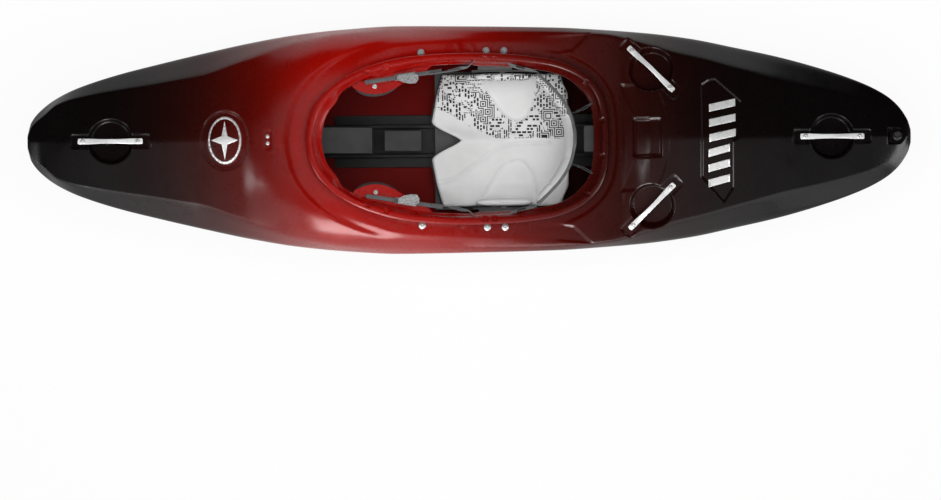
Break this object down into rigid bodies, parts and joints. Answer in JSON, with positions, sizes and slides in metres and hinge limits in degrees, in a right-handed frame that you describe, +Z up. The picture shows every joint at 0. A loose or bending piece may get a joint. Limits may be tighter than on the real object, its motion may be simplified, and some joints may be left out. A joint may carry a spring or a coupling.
{
  "type": "kayak",
  "caption": "Short planing whitewater kayak with a moulded shell, raised coaming, grab handles, padded seat, ratchet backband, thigh braces and a sliding footrest.",
  "frame": {"origin": "under the middle of the hull's length and width, at the height of its lowest point", "axes": "+X towards the stern, +Y to starboard, +Z up"},
  "size_m": [2.46, 0.64, 0.4028],
  "materials": {
    "shell_plastic": "satin",
    "black_plastic": "satin",
    "dark_plastic": "satin",
    "black_rubber": "matte",
    "grey_foam": "matte",
    "white_foam": "matte",
    "grey_webbing": "matte",
    "steel": "satin",
    "alloy": "satin"
  },
  "bodies": {
    "hull": {"hull_shell": "shell_plastic", "cockpit_coaming": "shell_plastic", "grab_handle_bow": "alloy", "grab_screw_bow_front": "steel", "grab_screw_bow_rear": "steel", "grab_handle_stern": "alloy", "grab_screw_stern_front": "steel", "grab_screw_stern_rear": "steel", "grab_handle_starboard": "alloy", "grab_screw_starboard_front": "steel", "grab_screw_starboard_rear": "steel", "grab_handle_port": "alloy", "grab_screw_port_front": "steel", "grab_screw_port_rear": "steel", "deck_screw_thigh_starboard": "steel", "deck_screw_thigh_port": "steel", "deck_screw_hip_front_starboard": "steel", "deck_screw_hip_front_port": "steel", "deck_screw_hip_rear_starboard": "steel", "deck_screw_hip_rear_port": "steel", "centre_rail": "black_plastic", "front_pillar": "grey_foam", "centre_block": "grey_foam", "rear_pillar": "grey_foam", "footrest_rail_starboard": "alloy", "footrest_rail_port": "alloy", "footrest_screw_starboard": "steel", "footrest_screw_port": "steel", "hip_bracket_starboard": "dark_plastic", "hip_bracket_port": "dark_plastic", "hip_screw_starboard": "steel", "hip_screw_port": "steel", "webbing_starboard": "grey_webbing", "webbing_port": "grey_webbing", "bungee_starboard": "grey_webbing", "bungee_port": "grey_webbing"},
    "drain_washer": {"drain_gasket": "black_rubber"},
    "drain_stopper": {"drain_plug": "dark_plastic"},
    "foot_starboard": {"foot_plate_starboard": "black_plastic", "foot_pad_starboard": "grey_foam"},
    "foot_port": {"foot_plate_port": "black_plastic", "foot_pad_port": "grey_foam"},
    "seat": {"seat_pan": "dark_plastic", "seat_pad": "white_foam", "hip_pad_starboard": "white_foam", "hip_pad_port": "white_foam"},
    "thigh_starboard": {"thigh_brace_starboard": "shell_plastic", "thigh_pad_starboard": "grey_foam", "thigh_screw_starboard": "steel", "ratchet_base_starboard": "alloy"},
    "thigh_port": {"thigh_brace_port": "shell_plastic", "thigh_pad_port": "grey_foam", "thigh_screw_port": "steel", "ratchet_base_port": "alloy"},
    "lever_starboard": {"ratchet_lever_starboard": "alloy"},
    "lever_port": {"ratchet_lever_port": "alloy"},
    "ladder_starboard": {"ladder_strap_starboard": "dark_plastic"},
    "ladder_port": {"ladder_strap_port": "dark_plastic"},
    "backband": {"backband_shell": "dark_plastic", "backband_pad": "white_foam"}
  },
  "joints": [
    {"name": "drain_turn", "type": "hinge", "parent": "drain_washer", "child": "drain_stopper", "pos_m": [1.191, 0, 0.24], "axis": [0, 0, 1], "range_deg": [0, 720]},
    {"name": "drain_lift", "type": "slide", "parent": "hull", "child": "drain_washer", "axis": [0, 0, 1], "range_m": [0, 0.006]},
    {"name": "foot_slide_starboard", "type": "slide", "parent": "hull", "child": "foot_starboard", "axis": [0.979, 0.2039, 0], "range_m": [-0.05, 0.05]},
    {"name": "foot_slide_port", "type": "slide", "parent": "hull", "child": "foot_port", "axis": [0.979, -0.2039, 0], "range_m": [-0.05, 0.05]},
    {"name": "seat_trim", "type": "slide", "parent": "hull", "child": "seat", "axis": [1, 0, 0], "range_m": [-0.02, 0.02]},
    {"name": "thigh_slide_starboard", "type": "slide", "parent": "hull", "child": "thigh_starboard", "axis": [-0.9572, -0.149, 0.2483], "range_m": [-0.02, 0.012]},
    {"name": "thigh_slide_port", "type": "slide", "parent": "hull", "child": "thigh_port", "axis": [-0.9572, 0.149, 0.2483], "range_m": [-0.02, 0.012]},
    {"name": "lever_starboard_open", "type": "hinge", "parent": "thigh_starboard", "child": "lever_starboard", "pos_m": [-0.19867, 0.17122, 0.3375], "axis": [0.1538, -0.9881, 0], "range_deg": [0, 70], "stiffness_Nm_per_rad": 0.03, "springref_deg": -28.65},
    {"name": "lever_port_open", "type": "hinge", "parent": "thigh_port", "child": "lever_port", "pos_m": [-0.19867, -0.17122, 0.3375], "axis": [-0.1538, -0.9881, 0], "range_deg": [0, 70], "stiffness_Nm_per_rad": 0.03, "springref_deg": -28.65},
    {"name": "backband_tighten", "type": "slide", "parent": "hull", "child": "backband", "axis": [-0.968, 0, 0.2511], "range_m": [0, 0.025], "deforming": ["webbing_starboard", "webbing_port", "bungee_starboard", "bungee_port"]},
    {"name": "ladder_pull_starboard", "type": "slide", "parent": "hull", "child": "ladder_starboard", "axis": [-0.9572, -0.149, 0.2483], "range_m": [0, 0.025], "deforming": ["webbing_starboard"]},
    {"name": "ladder_pull_port", "type": "slide", "parent": "hull", "child": "ladder_port", "axis": [-0.9572, 0.149, 0.2483], "range_m": [0, 0.025], "deforming": ["webbing_port"]}
  ],
  "couplings": [
    {"joint": "drain_turn", "follows": "drain_lift", "rad_per_m": 2094.4},
    {"joint": "foot_slide_port", "follows": "foot_slide_starboard", "ratio": 1},
    {"joint": "ladder_pull_starboard", "follows": "backband_tighten", "ratio": 1},
    {"joint": "ladder_pull_port", "follows": "backband_tighten", "ratio": 1}
  ]
}
